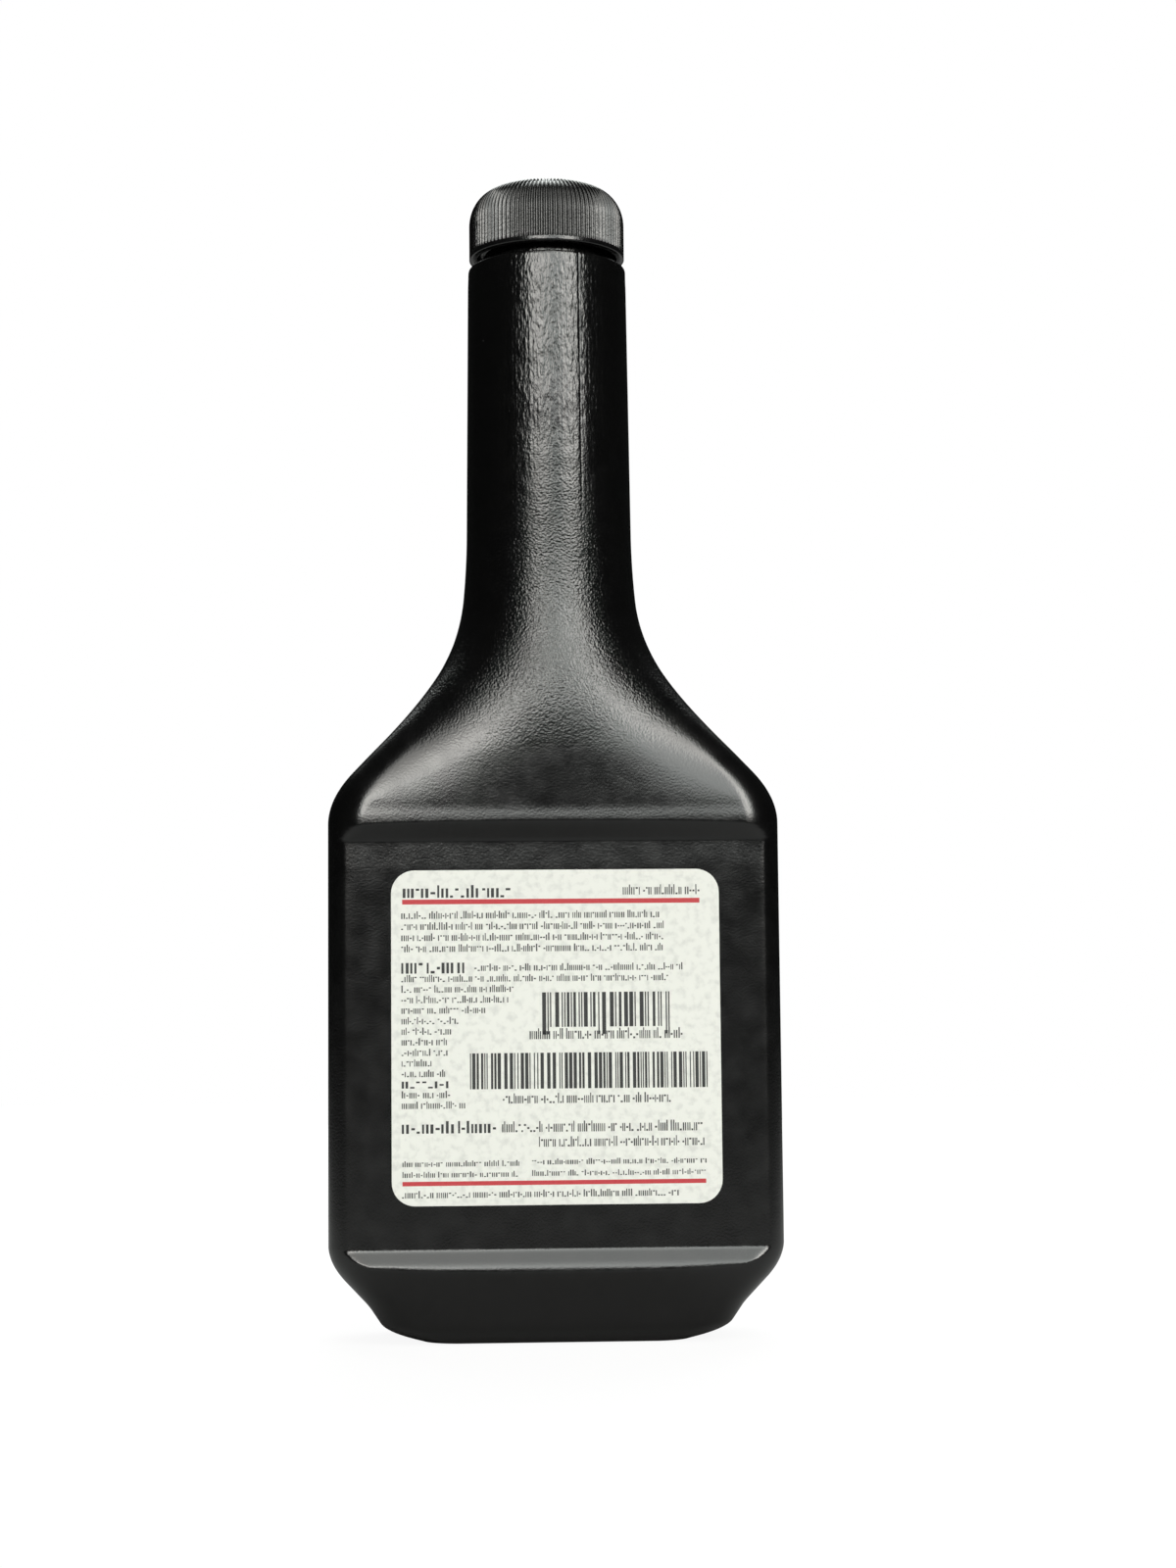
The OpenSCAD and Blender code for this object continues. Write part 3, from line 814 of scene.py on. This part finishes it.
# The two boxes are a little warmer than the light between them, and the camera sees pure white
tone = blend(lobes, (0.95, 1.0, 0.97, 1), (1.0, 0.965, 0.91, 1))
background = world_tree.nodes.new("ShaderNodeBackground")
shown = blend(path.outputs["Is Camera Ray"], tone, (1, 1, 1, 1))
world_tree.links.new(shown, background.inputs["Color"])
world_tree.links.new(strength, background.inputs["Strength"])
world_out = world_tree.nodes.new("ShaderNodeOutputWorld")
world_tree.links.new(background.outputs[0], world_out.inputs[0])

# A soft lamp lights the far side without showing in the black plastic
lamp_data = bpy.data.lights.new("far_lamp", "AREA")
lamp_data.shape = "DISK"
lamp_data.size = 1.2
lamp_data.energy = 22
lamp = bpy.data.objects.new("far_lamp", lamp_data)
lamp.location = (0.3, 1.5, 0.8)
lamp.rotation_euler = (Vector((0, 0, 0.1)) - lamp.location).to_track_quat("-Z", "Y").to_euler()
lamp.visible_glossy = False
lamp.visible_camera = False
bpy.context.scene.collection.objects.link(lamp)

bpy.context.scene.view_settings.view_transform = "Standard"

# The camera. It stands low in front of the bottle's back and looks up at it a little. The picture
# is 1200 by 1600, and the lens follows from the focal length in its pixels.
picture_h, focal_px, camera_place = 1600, 2900, Vector((-20, -553.8, 53.1))
pitch, yaw, roll = np.radians([5.5, 2.82, -0.54])
look = np.array([np.sin(yaw) * np.cos(pitch), np.cos(yaw) * np.cos(pitch), np.sin(pitch)])
level_right = np.array([np.cos(yaw), -np.sin(yaw), 0])
level_up = np.cross(level_right, look)
cam_right = level_right * np.cos(roll) + level_up * np.sin(roll)
cam_up = level_up * np.cos(roll) - level_right * np.sin(roll)
camera_data = bpy.data.cameras.new("camera")
camera_data.sensor_width = 36
camera_data.lens = focal_px * camera_data.sensor_width / picture_h
camera_data.clip_start = 0.01
camera = bpy.data.objects.new("camera", camera_data)
turn = Matrix([cam_right, cam_up, -look]).transposed().to_4x4()
camera.matrix_world = Matrix.Translation(camera_place * MM) @ turn
bpy.context.scene.collection.objects.link(camera)
bpy.context.scene.camera = camera
